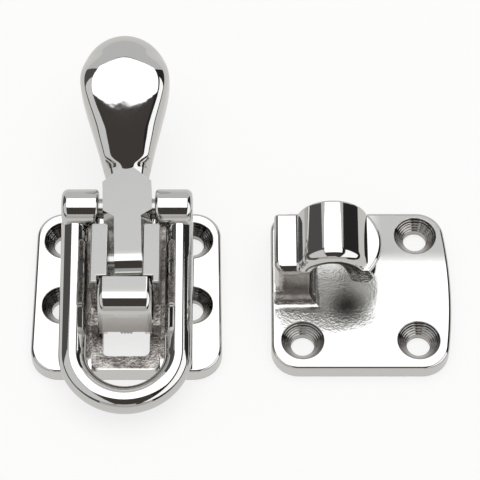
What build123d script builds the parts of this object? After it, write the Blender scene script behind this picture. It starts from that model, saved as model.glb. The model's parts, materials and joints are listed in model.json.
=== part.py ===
"""Over centre toggle latch: base, lever, loop, thumb catch and keeper in cast steel.

The frame is in millimetres. The origin is the centre of the base plate's back face,
+X runs across the latch, +Y runs from the loop to the handle and +Z stands up from the plate.
"""

from build123d import *
from math import atan2, cos, degrees, radians, sin, sqrt
import os

# ---------------------------------------------------------------- driving dimensions

# Base plate
plate_w = 55.5
plate_back_w = 54.0
plate_l = 53.5
plate_t = 5.0
plate_corner_r = 8.0
plate_edge_r = 1.0

# Countersunk screws, the same in base and keeper
screw_r = 3.4
screw_head_r = 6.2
screw_rim_r = 0.4
screw_head_angle = 82.0
screw_spacing_x = 37.4
screw_spacing_y = 22.0
screw_row_from_front = 22.0

# Housing on the base plate
housing_w = 19.9
housing_edge_r = 0.4
rim_h = 6.2
rim_l = 10.8
rim_corner_r = 2.8
ledge_h = 13.0
cheek_from_front = 17.7
cheek_l = 19.5
cheek_corner_r = 1.0
slot_w = 10.0
slot_floor = 5.5
window_w = 13.6
window_front = 4.4
window_corner_r = 1.8

# Lever: hub, tongue and head
lever_pin_r = 3.0
lever_pin_from_front = 28.0
lever_pin_h = 19.5
hub_r = 6.5
tongue_w = 7.8
tongue_t = 9.0
lever_play = 0.75
lever_askew = 1.9
head_w = 14.2
head_front = 11.8
head_corner = 13.8
head_shoulder = 23.4
head_end = 28.2
head_end_w = 4.0
head_edge_r = 0.4
head_ramp_l = 1.2
head_ramp_rise = 0.4

# Handle, a turned teardrop that rises from the head
handle_rise = 17.0
handle_root = 8.0
neck_r = 6.8
neck_back = 2.0
neck_drop = 6.2
knob_r = 13.1
knob_end_l = 14.3
handle_l = 27.3
handle_cone = 13.2

# Loop of round rod with an eye at each end
rod_r = 4.0
loop_pin_r = 3.0
pin_centres = 18.0
eye_r = 5.7
eye_inset = 0.2
eye_w = 10.8
eye_edge_r = 1.0
eye_end_r = 1.9
leg_spacing = 30.4
leg_drop = 1.9
loop_slope = 9.6
leg_l = 44.1
bow_depth = 13.8
bow_shoulder_r = 12.4

# Thumb catch
catch_w = 15.4
catch_face = 9.1
catch_bottom = 12.1
catch_r = 6.4
catch_back = 19.5
catch_wall = 2.3
catch_edge_r = 1.8
catch_pin_r = 2.0
catch_pin_from_front = 14.0
catch_pin_h = 8.6
catch_boss_r = 3.2

# Catch spring
spring_wire_r = 0.4
spring_coil_r = 2.75
spring_pitch = 0.9
spring_turns = 4
spring_leg_up = 10.5
spring_leg_down = 7.4

# Keeper plate
keeper_gap = 14.15
keeper_w = 50.5
keeper_back_w = 49.8
keeper_l = 52.4
keeper_bulge = 2.45
keeper_hook_corner_r = 6.0
keeper_screw_side = 9.1
keeper_screw_front = 9.25
keeper_screw_spacing = 33.6
keeper_screw_back = 35.2

# Keeper hook
hook_from_back = 10.0
hook_l = 19.2
hook_side = 0.9
hook_shoulder_h = 21.0
hook_centre_x = 17.7
hook_shoulder_rise = 2.7
channel_r = 6.3
channel_offset = 0.4
hook_wall = 4.1
lip_t = 6.3
lip_r = 14.2
lip_edge_r = 1.1
lip_root_r = 1.8
hook_corner_r = 1.4
hook_valley_r = 1.2
hook_front_r = 3.3
hook_back_r = 0.8
channel_edge_r = 0.3
hook_foot_r = 3.7

# Pins
pin_chamfer = 0.4

# Clearances
turn_gap = 0.05
fixed_gap = 0.02
side_gap = 0.2
face_gap = 0.3

# ---------------------------------------------------------------- derived places

front = -plate_l / 2
back = plate_l / 2
deck_h = lever_pin_h + hub_r
lever_pin_y = front + lever_pin_from_front
loop_pin_y = lever_pin_y + pin_centres
catch_pin_y = front + catch_pin_from_front
pocket_w = catch_w + 2 * side_gap
pocket_y = front + catch_back + face_gap
window_end = catch_pin_y + spring_coil_r + spring_wire_r + turn_gap
screw_centre_y = front + screw_row_from_front + screw_spacing_y / 2

os.makedirs("parts", exist_ok=True)


def head_rims(casting):
    """The edges where the screw heads' seats meet the plate."""
    circles = casting.edges().filter_by(GeomType.CIRCLE)
    return circles.filter_by(lambda edge: abs(edge.radius - screw_head_r) < 0.001)


# ---------------------------------------------------------------- base casting

with BuildPart() as housing:
    # Side view: low frame at the front, a step, then the two cheeks
    with BuildSketch(Plane.YZ):
        Polygon(
            (front, 0),
            (front, rim_h),
            (front + rim_l, rim_h),
            (front + rim_l, ledge_h),
            (front + cheek_from_front, ledge_h),
            (front + cheek_from_front, deck_h),
            (front + cheek_from_front + cheek_l, deck_h),
            (front + cheek_from_front + cheek_l, 0),
            align=None,
        )
    extrude(amount=housing_w / 2, both=True)

    # Slot for the lever between the cheeks
    with BuildSketch(Plane.XY.offset(slot_floor)):
        with Locations((0, pocket_y)):
            Rectangle(slot_w, cheek_l + plate_l, align=(Align.CENTER, Align.MIN))
    extrude(amount=deck_h, mode=Mode.SUBTRACT)

    # Pocket for the catch
    with BuildSketch(Plane.XY.offset(plate_t)):
        with Locations((0, front + rim_l)):
            Rectangle(pocket_w, pocket_y - front - rim_l, align=(Align.CENTER, Align.MIN))
    extrude(amount=deck_h, mode=Mode.SUBTRACT)

    # Cast corners
    fillet(housing.edges().filter_by(Axis.Z).group_by(Axis.Y)[0], rim_corner_r)
    fillet(housing.edges().filter_by(Axis.Z).group_by(Axis.Y)[-1], cheek_corner_r)
    fillet(housing.edges().group_by(Axis.Z)[-1], housing_edge_r)

with BuildPart() as base:
    # The plate narrows a little towards the handle.
    with BuildSketch():
        Polygon(
            (-plate_w / 2, front),
            (plate_w / 2, front),
            (plate_back_w / 2, back),
            (-plate_back_w / 2, back),
            align=None,
        )
        fillet(vertices(), plate_corner_r)
    extrude(amount=plate_t)
    fillet(base.edges().group_by(Axis.Z)[-1], plate_edge_r)
    add(housing.part)

    # Window through plate and front frame, under the catch
    with BuildSketch():
        with Locations((0, front + window_front)):
            Rectangle(window_w, window_end - front - window_front, align=(Align.CENTER, Align.MIN))
        fillet(vertices(), window_corner_r)
    extrude(amount=deck_h, mode=Mode.SUBTRACT)

    # Screw holes
    with Locations((0, screw_centre_y, plate_t)):
        with GridLocations(screw_spacing_x, screw_spacing_y, 2, 2):
            CounterSinkHole(screw_r, screw_head_r, counter_sink_angle=screw_head_angle)
    fillet(head_rims(base), screw_rim_r)

    # Bores for the lever's pin and the catch's pin
    with BuildSketch(Plane.YZ):
        with Locations((lever_pin_y, lever_pin_h)):
            Circle(lever_pin_r + fixed_gap)
        with Locations((catch_pin_y, catch_pin_h)):
            Circle(catch_pin_r + fixed_gap)
    extrude(amount=housing_w, both=True, mode=Mode.SUBTRACT)

base.part.label = "base"
export_step(base.part, "parts/base.step")

# ---------------------------------------------------------------- lever casting

with BuildPart() as head:
    with BuildSketch(Plane.XY.offset(deck_h)):
        with Locations((0, lever_pin_y)):
            Polygon(
                (-tongue_w / 2, head_front),
                (-head_w / 2, head_corner),
                (-head_w / 2, head_shoulder),
                (-head_end_w / 2, head_end),
                (head_end_w / 2, head_end),
                (head_w / 2, head_shoulder),
                (head_w / 2, head_corner),
                (tongue_w / 2, head_front),
                align=None,
            )
    extrude(amount=-2 * hub_r)

    # The side view rounds the front of the head about the loop's pin.
    head_round = pin_centres - head_front
    with BuildSketch(Plane.YZ):
        with Locations((lever_pin_y + head_front, deck_h)):
            Rectangle(head_end - head_front, hub_r, align=(Align.MIN, Align.MAX))
        with Locations((loop_pin_y, lever_pin_h)):
            Circle(head_round)
            Rectangle(head_end - pin_centres, head_round, align=(Align.MIN, Align.MAX))
    extrude(amount=head_w, both=True, mode=Mode.INTERSECT)
    fillet(head.edges().filter_by(Axis.Z).group_by(SortBy.LENGTH)[-1], head_edge_r)

neck = Vector(0, lever_pin_y + head_end + neck_back, deck_h - neck_drop)
handle_plane = Plane(
    origin=neck,
    x_dir=(0, cos(radians(handle_rise)), sin(radians(handle_rise))),
    z_dir=(1, 0, 0),
)

with BuildPart() as lever_cast:
    # Hub and tongue
    with BuildSketch(Plane.YZ):
        with Locations((lever_pin_y, lever_pin_h)):
            Circle(hub_r)
        with Locations((lever_pin_y, deck_h)):
            Rectangle(pin_centres, tongue_t, align=(Align.MIN, Align.MAX))
    extrude(amount=tongue_w / 2, both=True)
    add(head.part)

    # Handle, turned about its own rising axis
    with BuildSketch(handle_plane):
        with BuildLine():
            root_r = neck_r - handle_root * sin(radians(handle_cone)) / cos(radians(handle_cone))
            Polyline((-handle_root, root_r), (-handle_root, 0), (handle_l + knob_end_l, 0))
            EllipticalCenterArc((handle_l, 0), knob_end_l, knob_r, start_angle=0, arc_size=90)
            flank = Line((-handle_root, root_r), (0, neck_r))
            Spline((0, neck_r), (handle_l, knob_r), tangents=(flank % 1, (1, 0)), tangent_scalars=(1.5, 0.7))
        make_face()
    revolve(axis=Axis(handle_plane.origin, handle_plane.x_dir))

    # Short ramp that lets the head's flat run into the neck
    ramp_y = lever_pin_y + head_end
    with BuildSketch(Plane.YZ):
        Polygon(
            (ramp_y, deck_h),
            (ramp_y + head_ramp_l, deck_h + head_ramp_rise),
            (ramp_y + head_ramp_l, deck_h - head_ramp_l),
            (ramp_y, deck_h - head_ramp_l),
            align=None,
        )
    extrude(amount=head_end_w / 2, both=True)

# The lever lies a little askew in its slot, with its bores square to the latch.
askew = Location((lever_play, lever_pin_y, 0), (0, 0, lever_askew)) * Location((0, -lever_pin_y, 0))

with BuildPart() as lever:
    add(lever_cast.part.moved(askew))
    with BuildSketch(Plane.YZ):
        with Locations((lever_pin_y, lever_pin_h)):
            Circle(lever_pin_r + turn_gap)
        with Locations((loop_pin_y, lever_pin_h)):
            Circle(loop_pin_r + turn_gap)
    extrude(amount=housing_w, both=True, mode=Mode.SUBTRACT)

lever.part.label = "lever"
export_step(lever.part, "parts/lever.step")

# ---------------------------------------------------------------- loop

slope = radians(loop_slope)
loop_plane = Plane(
    origin=(0, loop_pin_y + leg_drop * sin(slope), lever_pin_h - leg_drop * cos(slope)),
    x_dir=(1, 0, 0),
    z_dir=(0, -sin(slope), cos(slope)),
)

# The bow is three tangent arcs: two shoulders and a flatter middle.
leg_x = leg_spacing / 2
shoulder_x = leg_x - bow_shoulder_r
middle_r = (shoulder_x**2 + bow_depth**2 - bow_shoulder_r**2) / (2 * (bow_depth - bow_shoulder_r))
middle_y = -leg_l - bow_depth + middle_r
shoulder_turn = degrees(atan2(middle_r - bow_depth, shoulder_x))

with BuildPart() as eyes:
    # Eyes, set in a little from the outside of the legs
    for side in (-1, 1):
        with BuildSketch(Plane.YZ.offset(side * (leg_x + rod_r - eye_inset))):
            with Locations((loop_pin_y, lever_pin_h)):
                Circle(eye_r)
        extrude(amount=-side * eye_w)
    eye_rims = eyes.edges().filter_by(GeomType.CIRCLE).group_by(Axis.X)
    fillet(eye_rims[0] + eye_rims[-1], eye_end_r)
    fillet(eye_rims[1] + eye_rims[2], eye_edge_r)

with BuildPart() as loop:
    with BuildLine(loop_plane) as rod_line:
        Line((-leg_x, 0), (-leg_x, -leg_l))
        CenterArc((-shoulder_x, -leg_l), bow_shoulder_r, 180, shoulder_turn)
        CenterArc((0, middle_y), middle_r, 180 + shoulder_turn, 180 - 2 * shoulder_turn)
        CenterArc((shoulder_x, -leg_l), bow_shoulder_r, -shoulder_turn, shoulder_turn)
        Line((leg_x, -leg_l), (leg_x, 0))
    with BuildSketch(Plane(origin=rod_line.line @ 0, z_dir=rod_line.line % 0)):
        Circle(rod_r)
    sweep(path=rod_line.line)
    add(eyes.part)

    with BuildSketch(Plane.YZ):
        with Locations((loop_pin_y, lever_pin_h)):
            Circle(loop_pin_r + turn_gap)
    extrude(amount=plate_w, both=True, mode=Mode.SUBTRACT)

loop.part.label = "loop"
export_step(loop.part, "parts/loop.step")

# ---------------------------------------------------------------- thumb catch

catch_y = front + catch_face + catch_r
catch_h = deck_h - catch_r
catch_back_y = front + catch_back

with BuildPart() as catch:
    # Side view: upright face, barrel top, flat back and a lug down to the pin
    with BuildSketch(Plane.YZ) as catch_side:
        with BuildLine():
            Line((front + catch_face, catch_bottom), (front + catch_face, catch_h))
            CenterArc((catch_y, catch_h), catch_r, 180, -90)
            Polyline(
                (catch_y, deck_h),
                (catch_back_y, deck_h),
                (catch_back_y, catch_pin_h + catch_boss_r + catch_wall),
                (catch_pin_y + catch_boss_r, catch_pin_h),
                (catch_pin_y - catch_boss_r, catch_pin_h),
                (front + catch_face, catch_bottom),
            )
        make_face()
        with Locations((catch_pin_y, catch_pin_h)):
            Circle(catch_boss_r)
    extrude(amount=catch_w / 2, both=True)
    rim = catch.faces().filter_by(Axis.X).edges().filter_by_position(Axis.Z, catch_bottom + 1, deck_h + 1)
    fillet(rim, catch_edge_r)

    # Hollow, open below, between the two lugs
    with BuildSketch(Plane.YZ):
        with BuildLine():
            inner_r = catch_r - catch_wall
            Line((front + catch_face + catch_wall, 0), (front + catch_face + catch_wall, catch_h))
            CenterArc((catch_y, catch_h), inner_r, 180, -90)
            Polyline(
                (catch_y, deck_h - catch_wall),
                (catch_back_y - catch_wall, deck_h - catch_wall),
                (catch_back_y - catch_wall, 0),
                (front + catch_face + catch_wall, 0),
            )
        make_face()
        with Locations((catch_pin_y, 0)):
            Rectangle(4 * catch_r, catch_bottom, align=(Align.CENTER, Align.MIN))
    extrude(amount=catch_w / 2 - catch_wall, both=True, mode=Mode.SUBTRACT)

    with BuildSketch(Plane.YZ):
        with Locations((catch_pin_y, catch_pin_h)):
            Circle(catch_pin_r + turn_gap)
    extrude(amount=catch_w, both=True, mode=Mode.SUBTRACT)

catch.part.label = "catch"
export_step(catch.part, "parts/catch.step")

# ---------------------------------------------------------------- pins

def pin(x, y, z, radius, length):
    """A plain pin along X with broken ends."""
    with BuildPart() as shaft:
        with BuildSketch(Plane.YZ.offset(x)):
            with Locations((y, z)):
                Circle(radius)
        extrude(amount=length / 2, both=True)
        chamfer(shaft.edges().filter_by(GeomType.CIRCLE), pin_chamfer)
    return shaft.part


lever_pin = pin(0, lever_pin_y, lever_pin_h, lever_pin_r, housing_w)
lever_pin.label = "lever_pin"
export_step(lever_pin, "parts/lever_pin.step")

loop_pin = pin(0, loop_pin_y, lever_pin_h, loop_pin_r, leg_spacing + 2 * (rod_r - eye_inset))
loop_pin.label = "loop_pin"
export_step(loop_pin, "parts/loop_pin.step")

catch_pin = pin(0, catch_pin_y, catch_pin_h, catch_pin_r, housing_w)
catch_pin.label = "catch_pin"
export_step(catch_pin, "parts/catch_pin.step")

# ---------------------------------------------------------------- catch spring

# Wound about Z, then laid along the catch's pin. The coil starts and ends behind the pin: one leg
# reaches down to the back edge of the window, the other stands up against the catch's back wall.
coil_l = spring_pitch * spring_turns

with BuildPart() as wound:
    with BuildLine() as wire:
        coil = Helix(spring_pitch, coil_l, spring_coil_r, center=(0, 0, -coil_l / 2))
        Line(coil @ 0 - (coil % 0) * spring_leg_down, coil @ 0)
        Line(coil @ 1, coil @ 1 + (coil % 1) * spring_leg_up)
    with BuildSketch(Plane(origin=wire.line @ 0, z_dir=wire.line % 0)):
        Circle(spring_wire_r)
    sweep(path=wire.line)

with BuildPart(Plane((0, catch_pin_y, catch_pin_h), x_dir=(0, 1, 0), z_dir=(1, 0, 0))) as catch_spring:
    add(wound.part)

catch_spring.part.label = "catch_spring"
export_step(catch_spring.part, "parts/catch_spring.step")

# ---------------------------------------------------------------- keeper casting

keeper_x = plate_w / 2 + keeper_gap
keeper_front = back - keeper_l
hook_x = keeper_x + hook_centre_x
channel_x = hook_x - channel_offset
hook_y = back - hook_from_back
hook_r = channel_r + hook_wall
hook_centre_h = hook_shoulder_h - hook_shoulder_rise
lip_h = hook_shoulder_h - lip_t
arch_x = sqrt(hook_r**2 - hook_shoulder_rise**2)

# The hook's lip is a round disc in plan, about the middle of the arch, with rolled edges.
with BuildPart() as hook_plan:
    with BuildSketch(Plane.XZ):
        with BuildLine():
            Polyline((0, hook_shoulder_h), (0, lip_h), (lip_r - lip_edge_r, lip_h))
            CenterArc((lip_r - lip_edge_r, lip_h + lip_edge_r), lip_edge_r, -90, 90)
            Line((lip_r, lip_h + lip_edge_r), (lip_r, hook_shoulder_h - lip_edge_r))
            CenterArc((lip_r - lip_edge_r, hook_shoulder_h - lip_edge_r), lip_edge_r, 0, 90)
            Line((lip_r - lip_edge_r, hook_shoulder_h), (0, hook_shoulder_h))
        make_face()
    revolve(axis=Axis.Z)
    with BuildSketch():
        with Locations((arch_x, 0)):
            Rectangle(keeper_w, hook_l + 1, align=(Align.MAX, Align.CENTER))
    extrude(amount=plate_w)

with BuildPart() as hook_bar:
    # End view of the hook: block, arch over the channel and the lip
    with BuildSketch(Plane.XZ.offset(-hook_y)):
        with BuildLine():
            start_angle = degrees(atan2(hook_shoulder_rise, -arch_x))
            Polyline(
                (channel_x - channel_r, 0),
                (keeper_x + hook_side, 0),
                (keeper_x + hook_side, hook_shoulder_h),
                (hook_x - arch_x, hook_shoulder_h),
            )
            CenterArc((hook_x, hook_centre_h), hook_r, start_angle, 180 - 2 * start_angle)
            Polyline(
                (hook_x + arch_x, hook_shoulder_h),
                (hook_x + lip_r, hook_shoulder_h),
                (hook_x + lip_r, lip_h),
                (channel_x + channel_r, lip_h),
                (channel_x + channel_r, hook_centre_h),
            )
            CenterArc((channel_x, hook_centre_h), channel_r, 0, 180)
            Line((channel_x - channel_r, hook_centre_h), (channel_x - channel_r, 0))
        make_face()
    extrude(amount=hook_l)

# Cast edges, each picked by a point that lies on it
hook_front = hook_y - hook_l
hook_middle = hook_y - hook_l / 2
cast_edges = (
    ((keeper_x + hook_side, hook_middle, hook_shoulder_h), hook_corner_r),
    ((hook_x - arch_x, hook_middle, hook_shoulder_h), hook_valley_r),
    ((hook_x, hook_front, hook_centre_h + hook_r), hook_front_r),
    ((hook_x, hook_y, hook_centre_h + hook_r), hook_back_r),
    ((channel_x + channel_r, hook_middle, lip_h), lip_root_r),
    ((channel_x, hook_front, hook_centre_h + channel_r), channel_edge_r),
)
hook_cast = hook_bar.part
for point, radius in cast_edges:
    hook_cast = hook_cast.fillet(radius, hook_cast.edges().sort_by_distance(point)[:1])

with BuildPart() as hook:
    add(hook_cast)
    with Locations((hook_x, hook_middle, 0)):
        add(hook_plan.part, mode=Mode.INTERSECT)

# Concave foot round the front of the block and up its channel wall
foot_h = plate_t + hook_foot_r
foot_x = channel_x - channel_r

with BuildPart() as foot:
    with BuildSketch(Plane.YZ.offset(keeper_x + hook_side)):
        with BuildLine():
            CenterArc((hook_front - hook_foot_r, foot_h), hook_foot_r, -90, 90)
            Polyline(
                (hook_front, foot_h),
                (hook_y, foot_h),
                (hook_y, 0),
                (hook_front - hook_foot_r, 0),
                (hook_front - hook_foot_r, plate_t),
            )
        make_face()
    extrude(amount=keeper_w / 2)
    with BuildSketch(Plane.XZ.offset(-hook_y)):
        with BuildLine():
            CenterArc((foot_x + hook_foot_r, foot_h), hook_foot_r, 180, 90)
            Polyline(
                (foot_x + hook_foot_r, plate_t),
                (foot_x + hook_foot_r, 0),
                (keeper_x + hook_side, 0),
                (keeper_x + hook_side, foot_h),
                (foot_x, foot_h),
            )
        make_face()
    extrude(amount=keeper_l, mode=Mode.INTERSECT)

with BuildPart() as keeper:
    with BuildSketch():
        with BuildLine():
            bulge_x = keeper_x + (keeper_w + keeper_back_w) / 2 + keeper_bulge
            Polyline(
                (keeper_x + keeper_back_w, back),
                (keeper_x, back),
                (keeper_x, keeper_front),
                (keeper_x + keeper_w, keeper_front),
            )
            ThreePointArc(
                (keeper_x + keeper_w, keeper_front),
                (bulge_x, (keeper_front + back) / 2),
                (keeper_x + keeper_back_w, back),
            )
        make_face()
        fillet(vertices().sort_by_distance((keeper_x, back))[1:], plate_corner_r)
        fillet(vertices().sort_by_distance((keeper_x, back))[0], keeper_hook_corner_r)
    extrude(amount=plate_t)
    fillet(keeper.edges().group_by(Axis.Z)[-1], plate_edge_r)
    add(hook.part)
    add(foot.part)

    # Three screw holes; the hook fills the fourth corner
    with Locations((keeper_x + keeper_screw_side, keeper_front + keeper_screw_front, plate_t)):
        with Locations((0, 0), (keeper_screw_spacing, 0), (keeper_screw_spacing, keeper_screw_back)):
            CounterSinkHole(screw_r, screw_head_r, counter_sink_angle=screw_head_angle)
    fillet(head_rims(keeper), screw_rim_r)

keeper.part.label = "keeper"
export_step(keeper.part, "parts/keeper.step")
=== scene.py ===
"""Finishes and stages an over centre toggle latch and its keeper.

The latch is screwed to a lid and the keeper to the frame beside it. Both are cast in stainless
steel and mirror polished, so most of their look is the room that they reflect.
"""

import json
import math

import bpy
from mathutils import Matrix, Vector
from mathutils.bvhtree import BVHTree


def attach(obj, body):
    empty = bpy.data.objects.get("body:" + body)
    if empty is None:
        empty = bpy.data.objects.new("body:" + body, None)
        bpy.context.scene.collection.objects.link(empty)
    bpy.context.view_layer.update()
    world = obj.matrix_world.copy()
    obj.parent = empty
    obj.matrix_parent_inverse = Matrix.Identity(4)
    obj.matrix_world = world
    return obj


bl_info = {
    "name": "Over Centre Toggle Latch",
    "version": (1, 0, 0),
    "blender": (4, 5, 0),
    "location": "View3D > Sidebar > Toggle Latch",
    "description": "Finishes and stages an over centre toggle latch with its keeper",
    "category": "Object",
}

# Metres in a millimetre
MM = 0.001

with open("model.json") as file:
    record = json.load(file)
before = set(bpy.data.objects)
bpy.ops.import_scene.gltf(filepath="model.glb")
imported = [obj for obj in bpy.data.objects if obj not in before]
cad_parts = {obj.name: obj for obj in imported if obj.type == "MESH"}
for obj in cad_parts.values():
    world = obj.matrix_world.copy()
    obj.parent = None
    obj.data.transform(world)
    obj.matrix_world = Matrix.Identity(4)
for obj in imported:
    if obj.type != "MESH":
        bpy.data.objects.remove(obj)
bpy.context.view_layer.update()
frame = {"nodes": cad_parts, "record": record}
NODES = frame["nodes"]

# Roughness of steel off the mop, and what the duller finishes add to it
MOPPED = 0.05
SATIN = 0.45
AS_CAST = 0.13
TURNED = 0.05

# How far up a face's normal points, from where it counts as level and from where as sloping
LEVEL = 0.995
SLOPING = 0.97

# The screws' seats in millimetres: their outer edge, and where the grooves at that edge begin
SEAT_EDGE = 6.7
SEAT_RIM = 5.4


def linear(hex_colour):
    """Turns an sRGB hex colour to the linear colour that shaders use."""
    channels = [int(hex_colour[i : i + 2], 16) / 255 for i in (1, 3, 5)]
    lin = [c / 12.92 if c <= 0.04045 else ((c + 0.055) / 1.055) ** 2.4 for c in channels]
    return (*lin, 1.0)


def add_node(tree, kind, inputs=None, **settings):
    """Adds a node. An input is given as a value, or as the output socket that feeds it."""
    node = tree.nodes.new(kind)
    for name, value in settings.items():
        setattr(node, name, value)
    for key, value in (inputs or {}).items():
        if isinstance(value, bpy.types.NodeSocket):
            tree.links.new(value, node.inputs[key])
        else:
            node.inputs[key].default_value = value
    return node


def new_material(name):
    """An empty material and its node tree."""
    material = bpy.data.materials.new(name)
    material.use_nodes = True
    material.node_tree.nodes.clear()
    return material, material.node_tree


def give(node_name, material):
    """Puts a finish on a CAD node in place of the one it was packed with."""
    node = NODES[node_name]
    node.data.materials.clear()
    node.data.materials.append(material)


def screw_axes(*mount_names):
    """Where the screws of these mounts stand, as (x, y) in metres."""
    places = set()
    for mount in frame["record"]["mounts"]:
        if mount["name"] in mount_names:
            x, y, _ = mount["pos_m"]
            across = mount["dims"].get("spacing_x_mm", 0) * MM / 2
            along = mount["dims"].get("spacing_y_mm", 0) * MM / 2
            places |= {(x + i * across, y + k * along) for i in (-1, 1) for k in (-1, 1)}
    return sorted(places)


# ---------------------------------------------------------------- masks and patterns


def within(tree, place, low, high, soft):
    """A mask of the box from low to high, in millimetres, that fades out over soft around it."""
    centre = [(a + b) / 2 * MM for a, b in zip(low, high)]
    half = [(b - a) / 2 * MM for a, b in zip(low, high)]
    offset = add_node(tree, "ShaderNodeVectorMath", {0: place, 1: centre}, operation="SUBTRACT")
    reach = add_node(tree, "ShaderNodeVectorMath", {0: offset.outputs[0]}, operation="ABSOLUTE")
    sides = {0: reach.outputs[0], 1: half}
    past = add_node(tree, "ShaderNodeVectorMath", sides, operation="SUBTRACT")
    limits = {0: past.outputs[0], 1: (0, 0, 0)}
    outside = add_node(tree, "ShaderNodeVectorMath", limits, operation="MAXIMUM")
    gap = add_node(tree, "ShaderNodeVectorMath", {0: outside.outputs[0]}, operation="LENGTH")
    fade = {"Value": gap.outputs["Value"], "From Min": soft * MM, "From Max": 0.0}
    mask = add_node(tree, "ShaderNodeMapRange", fade, interpolation_type="SMOOTHSTEP")
    return mask.outputs["Result"]


def combine(tree, masks, operation):
    """One mask of several: MAXIMUM keeps what is in any of them, and MULTIPLY what is in all."""
    joined, *others = masks
    for mask in others:
        pair = {0: joined, 1: mask}
        joined = add_node(tree, "ShaderNodeMath", pair, operation=operation).outputs[0]
    return joined


def facing_up(tree, normal):
    """A mask of the faces that look straight up off the plate."""
    axes = add_node(tree, "ShaderNodeSeparateXYZ", {0: normal})
    rise = {"Value": axes.outputs[2], "From Min": SLOPING, "From Max": LEVEL}
    return add_node(tree, "ShaderNodeMapRange", rise).outputs["Result"]


def around_screws(tree, place, axes, radius, soft):
    """A mask of the upright rounds about the screws' axes, in millimetres."""
    flat = add_node(tree, "ShaderNodeVectorMath", {0: place, 1: (1, 1, 0)}, operation="MULTIPLY")
    rounds = []
    for x, y in axes:
        ends = {0: flat.outputs[0], 1: (x, y, 0)}
        gap = add_node(tree, "ShaderNodeVectorMath", ends, operation="DISTANCE")
        near = {"Value": gap.outputs["Value"], "From Min": radius * MM}
        near["From Max"] = (radius - soft) * MM
        rounds.append(add_node(tree, "ShaderNodeMapRange", near).outputs["Result"])
    return combine(tree, rounds, "MAXIMUM")


def cutter_rings(tree, place, axis, feed):
    """A ridge for each turn of the cutter, along one axis of the object."""
    axes = add_node(tree, "ShaderNodeSeparateXYZ", {0: place})
    factors = {0: axes.outputs[axis], 1: 2 * math.pi / feed}
    turns = add_node(tree, "ShaderNodeMath", factors, operation="MULTIPLY")
    return add_node(tree, "ShaderNodeMath", {0: turns.outputs[0]}, operation="SINE").outputs[0]


# ---------------------------------------------------------------- materials


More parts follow.
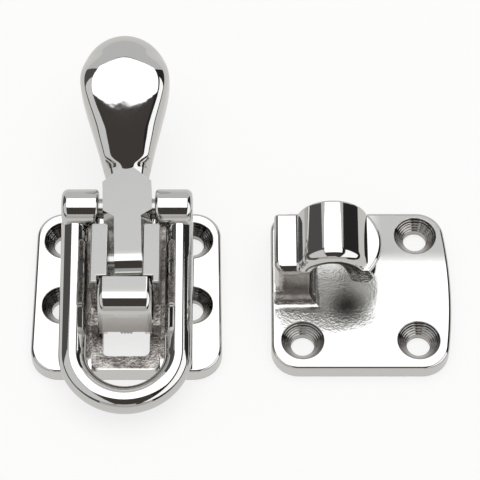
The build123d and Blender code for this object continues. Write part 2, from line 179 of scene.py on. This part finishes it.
class PolishedCastSteel:
    """Investment cast stainless steel, mirror polished on a soft mop.

    The mop rounds the casting very slightly, so reflections waver over about a centimetre. The
    other finishes are laid over that one, each in its own boxes. A box is given as low corner,
    high corner and fade, in millimetres.
    """

    def __init__(self, name, scene):
        self.colours = scene.latch_colours
        self.sizes = scene.latch_sizes
        self.material, self.tree = new_material(name)
        coords = add_node(self.tree, "ShaderNodeTexCoord")
        self.place = coords.outputs["Object"]
        self.normal = coords.outputs["Normal"]
        inputs = {"Vector": self.place, "Scale": 1 / self.sizes.mop_waver, "Detail": 1.0}
        waver = add_node(self.tree, "ShaderNodeTexNoise", inputs)
        waves = {"Height": waver.outputs["Fac"], "Strength": 1.0, "Distance": self.sizes.mop_depth}
        self.skin = {
            "Base Color": linear(self.colours.steel),
            "Metallic": 1.0,
            "Roughness": MOPPED,
            "Normal": add_node(self.tree, "ShaderNodeBump", waves).outputs["Normal"],
        }
        inputs = {"Vector": self.place, "Scale": 1 / self.sizes.grain, "Detail": 3.0}
        inputs["Roughness"] = 0.6
        self.grain = add_node(self.tree, "ShaderNodeTexNoise", inputs).outputs["Fac"]

    def lay(self, mask, colour=None, dullness=0.0, pattern=None, depth=0.0):
        """Lays a finish over the steel where the mask is.

        Its colour takes over there, its dullness is added to the roughness, and its pattern is
        pressed in over the relief that is there, to a depth in metres.
        """
        skin = self.skin
        if colour is not None:
            inputs = {0: mask, 6: skin["Base Color"], 7: colour}
            mix = add_node(self.tree, "ShaderNodeMix", inputs, data_type="RGBA")
            skin["Base Color"] = mix.outputs[2]
        if dullness:
            inputs = {0: mask, 1: dullness, 2: skin["Roughness"]}
            rough = add_node(self.tree, "ShaderNodeMath", inputs, operation="MULTIPLY_ADD")
            skin["Roughness"] = rough.outputs[0]
        if pattern is not None:
            height = combine(self.tree, [mask, pattern], "MULTIPLY")
            inputs = {"Height": height, "Strength": 1.0, "Distance": depth}
            inputs["Normal"] = skin["Normal"]
            skin["Normal"] = add_node(self.tree, "ShaderNodeBump", inputs).outputs["Normal"]

    def in_boxes(self, boxes):
        """A mask of these boxes."""
        masks = [within(self.tree, self.place, *box) for box in boxes]
        return combine(self.tree, masks, "MAXIMUM")

    def linish(self, *boxes):
        """Flats that were faced on a belt stay satin and look an even grey.

        Only what looks straight up in the boxes is faced.
        """
        up = facing_up(self.tree, self.normal)
        flats = combine(self.tree, [self.in_boxes(boxes), up], "MULTIPLY")
        self.lay(flats, linear(self.colours.satin), SATIN)

    def blast_and_brighten(self, *boxes):
        """Every face in the boxes stays frosted from the blasting, and is painted paler than the
        steel: painted light.
        """
        self.lay(self.in_boxes(boxes), linear(self.colours.frost_and_painted_light), SATIN)

    def leave_as_cast(self, *boxes, staining=0.9):
        """Hollows that the mop can't reach keep the casting's grain, and look dim and stained. In the
        gaps beside the base's housing, that dark colour is also painted shade.

        staining is how much of the dark scale is left there.
        """
        inputs = {"Vector": self.place, "Scale": 1 / self.sizes.scale_patch, "Detail": 4.0}
        inputs["Roughness"] = 0.7
        clouds = add_node(self.tree, "ShaderNodeTexNoise", inputs)
        inputs = {"Value": clouds.outputs["Fac"], "From Min": 0.38, "From Max": 0.62}
        inputs["To Min"] = 1 - staining
        clean = add_node(self.tree, "ShaderNodeMapRange", inputs).outputs["Result"]
        inputs = {0: clean, 6: linear(self.colours.scale), 7: linear(self.colours.ground)}
        cast = add_node(self.tree, "ShaderNodeMix", inputs, data_type="RGBA").outputs[2]
        hollows = self.in_boxes(boxes)
        self.lay(hollows, cast, AS_CAST, self.grain, self.sizes.grain_depth)

    def stipple(self, *patches):
        """Ground that was lightly polished over the grain breaks its reflections into specks.

        Each patch is a box and the dullness that is left in it.
        """
        for box, dullness in patches:
            self.lay(self.in_boxes([box]), dullness=dullness)
        ground = self.in_boxes([box for box, dullness in patches])
        self.lay(ground, pattern=self.grain, depth=0.8 * self.sizes.grain_depth)

    def paint_dip_shade(self, centre, radius):
        """A dip that the mop only skims is painted dark there: painted shade. centre and radius are
        in millimetres.
        """
        dip = within(self.tree, self.place, centre, centre, radius)
        self.lay(dip, linear(self.colours.dip_shade))

    def turn_seats(self, axes):
        """The screws' seats keep the rings of their cutter. Their colour is darkened with painted
        shade, and their edge grooves are painted dark as painted shade.
        """
        tree = self.tree
        rounds = around_screws(tree, self.place, axes, radius=SEAT_EDGE, soft=0.2)
        plate = facing_up(tree, self.normal)
        walls = add_node(tree, "ShaderNodeMath", {0: 1.0, 1: plate}, operation="SUBTRACT")
        seats = combine(tree, [rounds, walls.outputs[0]], "MULTIPLY")
        rings = cutter_rings(tree, self.place, 2, self.sizes.turning_feed)
        self.lay(seats, linear(self.colours.seat), TURNED, rings, self.sizes.turning_depth)
        inside = around_screws(tree, self.place, axes, radius=SEAT_RIM, soft=0.5)
        rim = add_node(tree, "ShaderNodeMath", {0: 1.0, 1: inside}, operation="SUBTRACT")
        inputs = {"Value": rings, "From Min": 0.3, "From Max": -0.5}
        grooves = add_node(tree, "ShaderNodeMapRange", inputs)
        groove_shade = combine(tree, [seats, rim.outputs[0], grooves.outputs["Result"]], "MULTIPLY")
        self.lay(groove_shade, linear(self.colours.groove_shade))

    def finished(self):
        """The material, once all its finishes are laid."""
        surface = add_node(self.tree, "ShaderNodeBsdfPrincipled", self.skin)
        add_node(self.tree, "ShaderNodeOutputMaterial", {"Surface": surface.outputs["BSDF"]})
        return self.material


def turned_steel(scene):
    """Stainless bar turned on a lathe: fine rings round the pin that spread its highlights."""
    sizes = scene.latch_sizes
    material, tree = new_material("turned_stainless_steel")
    place = add_node(tree, "ShaderNodeTexCoord").outputs["Object"]
    rings = cutter_rings(tree, place, 0, sizes.turning_feed)
    bump = {"Height": rings, "Strength": 1.0, "Distance": sizes.turning_depth / 4}
    skin = {
        "Base Color": linear(scene.latch_colours.pin),
        "Metallic": 1.0,
        "Roughness": 0.22,
        "Normal": add_node(tree, "ShaderNodeBump", bump).outputs["Normal"],
    }
    surface = add_node(tree, "ShaderNodeBsdfPrincipled", skin)
    add_node(tree, "ShaderNodeOutputMaterial", {"Surface": surface.outputs["BSDF"]})
    return material


def drawn_wire(scene):
    """Hard drawn spring wire: bright, with faint streaks from the die."""
    material, tree = new_material("drawn_spring_wire")
    place = add_node(tree, "ShaderNodeTexCoord").outputs["Object"]
    inputs = {"Vector": place, "Scale": 1 / scene.latch_sizes.grain, "Detail": 2.0}
    streaks = add_node(tree, "ShaderNodeTexNoise", inputs)
    inputs = {"Value": streaks.outputs["Fac"], "To Min": 0.16, "To Max": 0.34}
    rough = add_node(tree, "ShaderNodeMapRange", inputs)
    skin = {
        "Base Color": linear(scene.latch_colours.wire),
        "Metallic": 1.0,
        "Roughness": rough.outputs["Result"],
    }
    surface = add_node(tree, "ShaderNodeBsdfPrincipled", skin)
    add_node(tree, "ShaderNodeOutputMaterial", {"Surface": surface.outputs["BSDF"]})
    return material


# ---------------------------------------------------------------- settings


def hex_setting(name, description, default):
    """A colour setting, kept as sRGB hex."""
    return bpy.props.StringProperty(name=name, description=description, default=default)


def length_setting(name, description, default, low, high):
    """A length setting, given here in millimetres and kept in metres."""
    return bpy.props.FloatProperty(
        name=name,
        description=description,
        default=default * MM,
        min=low * MM,
        max=high * MM,
        unit="LENGTH",
        precision=6,
    )


def fullness_setting(name, description, default):
    """How far a round section's shoulders fill out, as a pure number."""
    return bpy.props.FloatProperty(
        name=name, description=description, default=default, min=0.0, max=8.0
    )


class LatchColours(bpy.types.PropertyGroup):
    """The colours that a user would change."""

    steel: hex_setting("Polished steel", "Colour of the mirror polished castings", "#dddddb")
    satin: hex_setting("Linished steel", "Colour of the flats that were faced on a belt", "#c8c8c7")
    # Painted light: paler than the steel, so the faces that wear it show brighter
    frost_and_painted_light: hex_setting("Blasted steel", "Colour of the faces that stay frosted", "#efedea")
    ground: hex_setting("Cast ground", "Colour of the hollows that the mop can't reach", "#c4c0bc")
    # In the gaps beside the base's housing this dark scale also serves as painted shade
    scale: hex_setting("Casting scale", "Colour of the dark scale left in those hollows", "#6b6562")
    # The painted shade of the keeper's dip, where it mirrors dark
    dip_shade: hex_setting("Dulled dips", "Colour of the dips that the mop only skims", "#625e5c")
    # The seats' colour is darkened below the steel's: partly painted shade from the holes
    seat: hex_setting("Screw seats", "Colour of the turned seats of the screws", "#b3b1af")
    # Painted shade in the grooves round the edge of a seat
    groove_shade: hex_setting("Seat grooves", "Colour of the grooves round the edge of a seat", "#3b3938")
    pin: hex_setting("Pins", "Colour of the turned pins", "#c9c9c7")
    wire: hex_setting("Spring wire", "Colour of the drawn spring wire", "#b9b8b5")


class LatchSizes(bpy.types.PropertyGroup):
    """The sizes of the finishes, and of the forms that they add."""

    mop_waver: length_setting(
        "Mop waver", "How far apart the gentle waves lie that polishing leaves", 9, 1, 50
    )
    mop_depth: length_setting("Mop depth", "How deep those waves are", 0.007, 0, 0.2)
    grain: length_setting(
        "Casting grain", "Size of the grains on the raw casting, drawn coarser than real", 0.7, 0.1, 5
    )
    grain_depth: length_setting(
        "Grain depth", "How deep those grains are, drawn deeper than real", 0.16, 0, 0.5
    )
    scale_patch: length_setting(
        "Scale patch", "Size of the patches of darker scale in the hollows", 2.5, 0.5, 20
    )
    crown_run_in: length_setting(
        "Crown run-in", "Length over which the round neck turns into the flatter section", 3.5, 1, 30
    )
    bow_height: length_setting("Bow height", "How far the neck's top line is bowed up", 0.4, 0, 2)
    bow_spread: length_setting(
        "Bow spread", "How much nearer to the knob the bow runs out at the shoulders", 12, 0, 40
    )
    neck_fullness: fullness_setting(
        "Neck fullness", "How far the neck's upper shoulders fill out, where 0 is round", 2.5
    )
    knob_fullness: fullness_setting(
        "Knob fullness", "How far the knob's upper shoulders fill out, where 0 is round", 4.5
    )
    toe_round: length_setting(
        "Toe rounding", "Radius of the rounded front edge of the keeper's toe", 0.35, 0.1, 1.2
    )
    turning_feed: length_setting(
        "Turning feed", "Distance between the cutter's rings, drawn coarser than real", 0.6, 0.05, 3
    )
    turning_depth: length_setting("Turning depth", "How deep those rings are", 0.012, 0, 0.2)


# ---------------------------------------------------------------- meshes


def faces_between(rows, columns, closed):
    """The faces of a grid of points that is written row by row, as a tube where it is closed."""
    faces = []
    for i in range(rows - 1):
        for k in range(columns if closed else columns - 1):
            a, b = i * columns + k, i * columns + (k + 1) % columns
            faces.append((a, b, b + columns, a + columns))
    return faces


def add_piece(name, points, faces, smooth=0):
    """A piece made of these faces, of which so many, from the first on, are shaded smooth."""
    mesh = bpy.data.meshes.new(name)
    mesh.from_pydata(points, [], faces)
    mesh.polygons.foreach_set("use_smooth", [k < smooth for k in range(len(faces))])
    piece = bpy.data.objects.new(name, mesh)
    bpy.context.scene.collection.objects.link(piece)
    return piece


# ---------------------------------------------------------------- the handle's crown

# Where the handle's axis leaves the lever's head, how it lies, and where the handle ends on it
HANDLE_ROOT = Vector((-0.25, 31.43, 19.8)) * MM
HANDLE_RISE = math.radians(17.0)
HANDLE_TURN = math.radians(1.9)
HANDLE_END = 41.6 * MM

# The crown's first and last ring along that axis, and how far it stands off the handle
CROWN_START = 0.2 * MM
CROWN_STOP = HANDLE_END - 0.15 * MM
CROWN_GAP = 0.03 * MM
CROWN_RINGS = 120
CROWN_COLUMNS = 128
# How much closer the rings lie towards the knob's end
RING_CROWDING = 1.7

# Where on the axis the neck turns into the knob, and where the knob's shoulders run out
KNOB_BEGINS = (10 * MM, 22 * MM)
KNOB_ROUNDS_OFF = (21 * MM, 35 * MM)

# Where on the axis the neck's bow is at its top and where it ends, and half the knob's width
BOW_TOP = 8 * MM
BOW_END = 22 * MM
KNOB_HALF = 12 * MM


def smooth_step(low, high, value):
    """Goes from 0 at low to 1 at high with no corner."""
    share = min(max((value - low) / (high - low), 0.0), 1.0)
    return share * share * (3 - 2 * share)


def shoulder_fullness(sizes, reach):
    """How square the handle's upper half is at this reach along its axis."""
    fullness = sizes.neck_fullness * smooth_step(CROWN_START, sizes.crown_run_in, reach)
    extra = sizes.knob_fullness - sizes.neck_fullness
    fullness += extra * smooth_step(*KNOB_BEGINS, reach)
    return fullness * (1 - smooth_step(*KNOB_ROUNDS_OFF, reach))


def neck_bow(sizes, reach, aside, height):
    """How far the neck is bowed up at this reach, and so far aside of its top line."""
    fall = reach - sizes.bow_spread * (aside / KNOB_HALF) ** 2
    lift = smooth_step(CROWN_START, BOW_TOP, reach) * (1 - smooth_step(BOW_TOP, BOW_END, fall))
    return lift * (sizes.bow_height * smooth_step(0, 0.6, height))


def handle_crown(sizes):
    """The handle's skin, broader and flatter across on its upper side than the turned form.

    It lies on the lever's own handle. Each section keeps its width and height, and its upper
    shoulders fill out towards a rounded square. The top line is bowed a little over the neck.
    """
    lever = NODES["lever"].data
    handle = BVHTree.FromPolygons(
        [v.co for v in lever.vertices], [tuple(f.vertices) for f in lever.polygons]
    )
    across = Vector((math.cos(HANDLE_TURN), math.sin(HANDLE_TURN), 0))
    ahead = Vector((-across.y, across.x, 0))
    along = ahead * math.cos(HANDLE_RISE) + Vector((0, 0, math.sin(HANDLE_RISE)))
    rise = across.cross(along)
    points = []
    for i in range(CROWN_RINGS + 1):
        share = 1 - (1 - i / CROWN_RINGS) ** RING_CROWDING
        reach = CROWN_START + (CROWN_STOP - CROWN_START) * share
        centre = HANDLE_ROOT + reach * along
        power = 2 + shoulder_fullness(sizes, reach)
        for k in range(CROWN_COLUMNS):
            turn = 2 * math.pi * k / CROWN_COLUMNS
            side, height = math.cos(turn), math.sin(turn)
            radius = handle.ray_cast(centre, side * across + height * rise)[3] + CROWN_GAP
            lift = 0.0
            if height > 0:
                radius *= (abs(side) ** power + height**power) ** (-1 / power)
                lift = neck_bow(sizes, reach, radius * side, height)
            points.append(centre + radius * side * across + (radius * height + lift) * rise)
    points.append(HANDLE_ROOT + (HANDLE_END + CROWN_GAP) * along)
    faces = faces_between(CROWN_RINGS + 1, CROWN_COLUMNS, closed=True)
    last = CROWN_RINGS * CROWN_COLUMNS
    tip = len(points) - 1
    for k in range(CROWN_COLUMNS):
        faces.append((last + k, last + (k + 1) % CROWN_COLUMNS, tip))
    return add_piece("handle_crown", points, faces, smooth=len(faces))


# ---------------------------------------------------------------- the hook's toe

# The toe's outline as seen from the front, in x and z millimetres. The first ten points are the
# open side, from the top of the channel round the nose, and the rest lie inside the hook.
TOE_OUTLINE = (
    (59.4, 24.8),
    (60.8, 24.3),
    (62.0, 23.2),
    (62.9, 21.4),
    (63.7, 19.0),
    (64.4, 16.6),
    (65.4, 14.9),
    (67.2, 14.0),
    (69.6, 13.9),
    (70.9, 14.9),
    (71.1, 17.0),
    (70.6, 19.2),
    (69.4, 20.7),
    (68.0, 21.2),
    (66.7, 23.0),
    (65.0, 24.6),
    (63.0, 25.7),
    (61.0, 26.2),
    (59.0, 26.0),
)
# How far it runs from front to back, in y millimetres, and how finely its curves are drawn
TOE_FRONT = -2.43
TOE_BACK = 12.0
TOE_STEPS = 6
TOE_BENDS = 8


def smooth_outline(corners, steps):
    """A closed curve through the corners, with steps points from each to the next."""
    curve = []
    count = len(corners)
    for i in range(count):
        before, first, second, after = (Vector(corners[(i + k) % count]) for k in (-1, 0, 1, 2))
        for k in range(steps):
            t = k / steps
            bend = 2 * before - 5 * first + 4 * second - after
            twist = 3 * first - before - 3 * second + after
            curve.append(first + 0.5 * (t * (second - before) + t * t * bend + t**3 * twist))
    return curve


def hook_toe(sizes):
    """The nose of the keeper's lip, which is rounder and thicker than the turned-down lip."""
    curve = smooth_outline(TOE_OUTLINE, TOE_STEPS)
    count = len(curve)
    inward = []
    for i in range(count):
        ahead = (curve[(i + 1) % count] - curve[i - 1]).normalized()
        inward.append(Vector((-ahead.y, ahead.x)))
    rows = [(TOE_BACK, 0.0)]
    radius = sizes.toe_round / MM
    for k in range(TOE_BENDS + 1):
        turn = math.pi / 2 * k / TOE_BENDS
        y = TOE_FRONT + radius * (1 - math.sin(turn))
        rows.append((y, radius * (1 - math.cos(turn))))
    points = []
    for y, inset in rows:
        for spot, side in zip(curve, inward):
            x, z = spot + inset * side
            points.append(Vector((x, y, z)) * MM)
    # The rows run towards the front, so the faces between them are turned to look out
    faces = [(a, d, c, b) for a, b, c, d in faces_between(len(rows), count, closed=True)]
    smooth = len(faces)
    last = (len(rows) - 1) * count
    faces.append(tuple(range(count)))
    faces.append(tuple(last + k for k in reversed(range(count))))
    return add_piece("hook_toe", points, faces, smooth)


# ---------------------------------------------------------------- operators for the pieces


class TOGGLE_OT_base(bpy.types.Operator):
    """Finishes the base: polished plate, satin cheeks, cast pocket and turned screw seats"""

    bl_idname = "toggle.base"
    bl_label = "Finish the base"

    def execute(self, context):
        cheeks = ((-10.5, -9.5, 25.6), (10.5, 11.5, 26.4), 0.3)
        rim = ((-9.6, -26.2, 0.0), (9.6, -15.0, 6.4), 0.3)
        ledge = ((-10.2, -15.9, 5.2), (10.2, -8.8, 13.4), 0.4)
        pocket = ((-8.2, -24.0, -1.0), (8.2, 21.0, 24.0), 0.2)
        # The gaps beside the housing, under the loop: cast ground, and its dark scale there is also
        # painted shade
        left_gap_cast_and_shade = ((-14.4, -22.0, 4.8), (-9.8, 21.0, 25.0), 1.2)
        right_gap_cast_and_shade = ((9.8, -22.0, 4.8), (14.4, 21.0, 25.0), 1.2)
        steel = PolishedCastSteel("polished_cast_base", context.scene)
        steel.linish(cheeks)
        steel.leave_as_cast(rim, ledge, pocket, left_gap_cast_and_shade, right_gap_cast_and_shade)
        steel.turn_seats(screw_axes("base_screws"))
        give("base", steel.finished())
        return {"FINISHED"}


class TOGGLE_OT_lever(bpy.types.Operator):
    """Finishes the lever: polished handle and a satin flat on its head and tongue"""

    bl_idname = "toggle.lever"
    bl_label = "Finish the lever"

    def execute(self, context):
        flat = ((-8.0, -1.0, 25.6), (8.0, 29.6, 26.3), 0.3)
        steel = PolishedCastSteel("polished_cast_lever", context.scene)
        steel.linish(flat)
        finish = steel.finished()
        give("lever", finish)
        crown = handle_crown(context.scene.latch_sizes)
        crown.data.materials.append(finish)
        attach(crown, "lever")
        return {"FINISHED"}


class TOGGLE_OT_loop(bpy.types.Operator):
    """Finishes the loop, polished all over"""

    bl_idname = "toggle.loop"
    bl_label = "Finish the loop"

    def execute(self, context):
        steel = PolishedCastSteel("polished_cast_loop", context.scene)
        give("loop", steel.finished())
        return {"FINISHED"}


class TOGGLE_OT_catch(bpy.types.Operator):
    """Finishes the thumb catch: polished barrel, a satin flat behind it and a frosted front painted
    pale as painted light
    """

    bl_idname = "toggle.catch"
    bl_label = "Finish the catch"

    def execute(self, context):
        flat = ((-8.0, -13.4, 25.4), (8.0, -6.5, 26.3), 0.3)
        front = ((-8.0, -18.5, 11.0), (8.0, -16.6, 21.0), 1.2)
        steel = PolishedCastSteel("polished_cast_catch", context.scene)
        steel.linish(flat)
        # Painted light: the frosted front is painted paler than the steel
        steel.blast_and_brighten(front)
        give("catch", steel.finished())
        return {"FINISHED"}


class TOGGLE_OT_keeper(bpy.types.Operator):
    """Finishes the keeper: polished plate and hook, cast channel and turned screw seats"""

    bl_idname = "toggle.keeper"
    bl_label = "Finish the keeper"

    def execute(self, context):
        back = ((75.0, 14.0, 4.5), (95.0, 27.0, 5.5), 6.0)
        channel = ((54.5, -1.2, 5.6), (66.4, 17.0, 23.0), 0.3)
        foot = ((43.5, -8.0, 5.6), (54.6, -2.0, 19.5), 0.6)
        patch = ((59.0, -9.0, 4.5), (69.0, 8.0, 5.2), 6.0)
        corner = ((46.0, -12.0, 4.5), (57.0, -7.5, 5.2), 3.0)
        floor = ((56.5, -0.5, 4.5), (66.0, 14.0, 5.2), 3.5)
        steel = PolishedCastSteel("polished_cast_keeper", context.scene)
        steel.linish(back)
        steel.leave_as_cast(channel, foot, staining=0.3)
        steel.stipple((patch, 0.08), (corner, 0.1), (floor, 0.0))
        # Painted shade: a dark patch on the dip in front of the hook
        steel.paint_dip_shade(centre=(64.3, -5.2, 5.0), radius=8.0)
        steel.turn_seats(screw_axes("keeper_front_screws", "keeper_back_screw"))
        finish = steel.finished()
        give("keeper", finish)
        toe = hook_toe(context.scene.latch_sizes)
        toe.data.materials.append(finish)
        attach(toe, "base")
        return {"FINISHED"}


class TOGGLE_OT_pins(bpy.types.Operator):
    """Finishes the three turned pins"""

    bl_idname = "toggle.pins"
    bl_label = "Finish the pins"

    def execute(self, context):
        steel = turned_steel(context.scene)
        for name in ("lever_pin", "loop_pin", "catch_pin"):
            give(name, steel)
        return {"FINISHED"}


class TOGGLE_OT_spring(bpy.types.Operator):
    """Finishes the catch's spring"""

    bl_idname = "toggle.spring"
    bl_label = "Finish the spring"

    def execute(self, context):
        give("catch_spring", drawn_wire(context.scene))
        return {"FINISHED"}


# ---------------------------------------------------------------- the stage

# The floor in metres, and how much of its glow the camera sees in place of the paper
FLOOR_SIZE = 6.0
FLOOR_CENTRE = (0.033, 0.014, 0.0)
PAPER_GLOW = 0.75

# The one lamp, and how much light it sheds for each square metre
SOFTBOX_SIZE = (0.90, 0.97)
SOFTBOX_PLACE = (0.05, 0.115, 0.9)
SOFTBOX_POWER = 1.6 * math.pi

# The height of the light panels, and of the grey table that hides the floor from the steel
PANEL_HEIGHT = 0.95
TABLE_HEIGHT = 0.0003

# How finely a curved screen is drawn
SCREEN_COLUMNS = 32
SCREEN_ROWS = 16

# What the camera looks at, from how far off in metres, and how steeply
CAMERA_TARGET = Vector((32.83, 14.33, 10.0)) * MM
CAMERA_REACH = 0.8
CAMERA_RISE = math.radians(59.12)


def matt_white_paper():
    """Matt white paper: it takes a soft shadow, and glows so that the camera sees it white."""
    material, tree = new_material("matt_white_paper")
    paper = add_node(tree, "ShaderNodeBsdfDiffuse", {"Color": linear("#f4f4f2")})
    glow = add_node(tree, "ShaderNodeEmission", {"Strength": 1.0})
    ray = add_node(tree, "ShaderNodeLightPath")
    inputs = {0: ray.outputs["Is Camera Ray"], 1: PAPER_GLOW}
    share = add_node(tree, "ShaderNodeMath", inputs, operation="MULTIPLY")
    inputs = {0: share.outputs[0], 1: paper.outputs["BSDF"], 2: glow.outputs["Emission"]}
    mix = add_node(tree, "ShaderNodeMixShader", inputs)
    add_node(tree, "ShaderNodeOutputMaterial", {"Surface": mix.outputs["Shader"]})
    return material


def white_studio():
    """A room that is white where it is seen or mirrored, and gives a dimmer light all round."""
    world = bpy.data.worlds.new("white_studio")
    world.use_nodes = True
    tree = world.node_tree
    tree.nodes.clear()
    ray = add_node(tree, "ShaderNodeLightPath")
    rays = [ray.outputs[f"Is {kind} Ray"] for kind in ("Camera", "Glossy", "Transmission")]
    seen = combine(tree, rays, "MAXIMUM")
    fill = {"Color": (0.8, 0.8, 0.8, 1), "Strength": 0.75}
    white = {"Color": (1, 1, 1, 1), "Strength": 1.0}
    dim, bright = (add_node(tree, "ShaderNodeBackground", inputs) for inputs in (fill, white))
    inputs = {0: seen, 1: dim.outputs[0], 2: bright.outputs[0]}
    mix = add_node(tree, "ShaderNodeMixShader", inputs)
    add_node(tree, "ShaderNodeOutputWorld", {"Surface": mix.outputs[0]})
    return world


def overhead_softbox(scene):
    """The softbox over the pieces, which gives them their soft shadow."""
    lamp = bpy.data.lights.new("overhead_softbox", "AREA")
    lamp.shape = "RECTANGLE"
    lamp.size, lamp.size_y = SOFTBOX_SIZE
    lamp.energy = SOFTBOX_POWER * lamp.size * lamp.size_y
    softbox = bpy.data.objects.new("overhead_softbox", lamp)
    softbox.location = SOFTBOX_PLACE
    scene.collection.objects.link(softbox)


def studio_sheet(screen, shade, strength):
    """Makes a screen into a card, cloth or light panel that only the polished steel sees."""
    material, tree = new_material(screen.name + "_sheet")
    glow = add_node(tree, "ShaderNodeEmission", {"Color": linear(shade), "Strength": strength})
    add_node(tree, "ShaderNodeOutputMaterial", {"Surface": glow.outputs["Emission"]})
    screen.data.materials.append(material)
    screen.visible_camera = False
    screen.visible_diffuse = False
    screen.visible_shadow = False
    screen.visible_transmission = False


def flat_panel(name, across, along, height, shade, strength=1.0):
    """A level panel from across[0] to across[1] in X and along[0] to along[1] in Y, in metres."""
    corners = ((0, 0), (1, 0), (1, 1), (0, 1))
    points = [(across[x], along[y], height) for x, y in corners]
    studio_sheet(add_piece(name, points, [(0, 1, 2, 3)]), shade, strength)


def curved_screen(name, around, up, radius, shade, strength=1.0):
    """A screen round the pieces, at this radius in metres.

    around and up are its edges in degrees, measured round from +Y and up from the floor.
    """
    points = []
    for i in range(SCREEN_ROWS + 1):
        rise = math.radians(up[0] + (up[1] - up[0]) * i / SCREEN_ROWS)
        for k in range(SCREEN_COLUMNS + 1):
            turn = math.radians(around[0] + (around[1] - around[0]) * k / SCREEN_COLUMNS)
            reach = radius * math.cos(rise)
            spot = (reach * math.sin(turn), reach * math.cos(turn), radius * math.sin(rise))
            points.append(spot)
    faces = faces_between(SCREEN_ROWS + 1, SCREEN_COLUMNS + 1, closed=False)
    studio_sheet(add_piece(name, points, faces), shade, strength)


def front_camera(scene):
    """The camera, which looks down on the plates from the front through a long lens."""
    lens = bpy.data.cameras.new("camera")
    lens.lens = 204.47
    lens.sensor_width = 36.0
    camera = bpy.data.objects.new("camera", lens)
    scene.collection.objects.link(camera)
    back = Vector((0, -math.cos(CAMERA_RISE), math.sin(CAMERA_RISE)))
    camera.location = CAMERA_TARGET + CAMERA_REACH * back
    camera.rotation_mode = "QUATERNION"
    camera.rotation_quaternion = (-back).to_track_quat("-Z", "Y")
    scene.camera = camera


class TOGGLE_OT_stage(bpy.types.Operator):
    """Sets out the floor, the studio light and the camera"""

    bl_idname = "toggle.stage"
    bl_label = "Set the stage"

    def execute(self, context):
        scene = context.scene
        bpy.ops.mesh.primitive_plane_add(size=FLOOR_SIZE, location=FLOOR_CENTRE)
        floor = context.object
        floor.name = "paper_floor"
        floor.data.materials.append(matt_white_paper())
        scene.world = white_studio()
        overhead_softbox(scene)

        # The room that the polish mirrors: light panels, a grey table, dark cloths and cards
        flat_panel("left_panel", (-5.0, -0.46), (-2.5, 0.20), PANEL_HEIGHT, "#dcdcdc")
        flat_panel("right_panel", (0.76, 6.0), (-2.5, 0.30), PANEL_HEIGHT, "#ffffff", 1.3)
        flat_panel("grey_table", (-3.0, 3.0), (-3.0, 3.0), TABLE_HEIGHT, "#dbd9d7")
        curved_screen("left_cloth", (-150, 0), (-1, 90), 7.0, "#555454")
        curved_screen("right_cloth", (0, 150), (-1, 90), 7.0, "#2c2c2c")
        curved_screen("front_cloth", (148, 212), (-1, 90), 6.9, "#46423f")
        curved_screen("back_card", (-42, 44), (-1, 55), 2.2, "#cccccc")
        curved_screen("camera_side_card", (169, 191), (-1, 26), 2.1, "#cbc8c6")
        curved_screen("front_card", (150, 210), (-1, 17), 2.0, "#bfbbb8")

        front_camera(scene)
        scene.view_settings.view_transform = "Standard"
        return {"FINISHED"}


class TOGGLE_PT_panel(bpy.types.Panel):
    """Lists the finishes and their settings"""

    bl_idname = "TOGGLE_PT_panel"
    bl_label = "Toggle Latch"
    bl_space_type = "VIEW_3D"
    bl_region_type = "UI"
    bl_category = "Toggle Latch"

    def draw(self, context):
        for operator in OPERATORS:
            self.layout.operator(operator.bl_idname)
        for group in (context.scene.latch_colours, context.scene.latch_sizes):
            for name in group.__annotations__:
                self.layout.prop(group, name)


OPERATORS = (
    TOGGLE_OT_base,
    TOGGLE_OT_lever,
    TOGGLE_OT_loop,
    TOGGLE_OT_catch,
    TOGGLE_OT_keeper,
    TOGGLE_OT_pins,
    TOGGLE_OT_spring,
    TOGGLE_OT_stage,
)
CLASSES = (LatchColours, LatchSizes, *OPERATORS, TOGGLE_PT_panel)


def register():
    """Registers the classes and hangs their settings on the scene."""
    for cls in CLASSES:
        bpy.utils.register_class(cls)
    bpy.types.Scene.latch_colours = bpy.props.PointerProperty(type=LatchColours)
    bpy.types.Scene.latch_sizes = bpy.props.PointerProperty(type=LatchSizes)


def unregister():
    """Takes the settings and the classes away again."""
    del bpy.types.Scene.latch_sizes
    del bpy.types.Scene.latch_colours
    for cls in reversed(CLASSES):
        bpy.utils.unregister_class(cls)


def main():
    """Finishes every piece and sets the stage."""
    register()
    bpy.ops.toggle.base()
    bpy.ops.toggle.lever()
    bpy.ops.toggle.loop()
    bpy.ops.toggle.catch()
    bpy.ops.toggle.keeper()
    bpy.ops.toggle.pins()
    bpy.ops.toggle.spring()
    bpy.ops.toggle.stage()


if __name__ == "__main__":
    main()
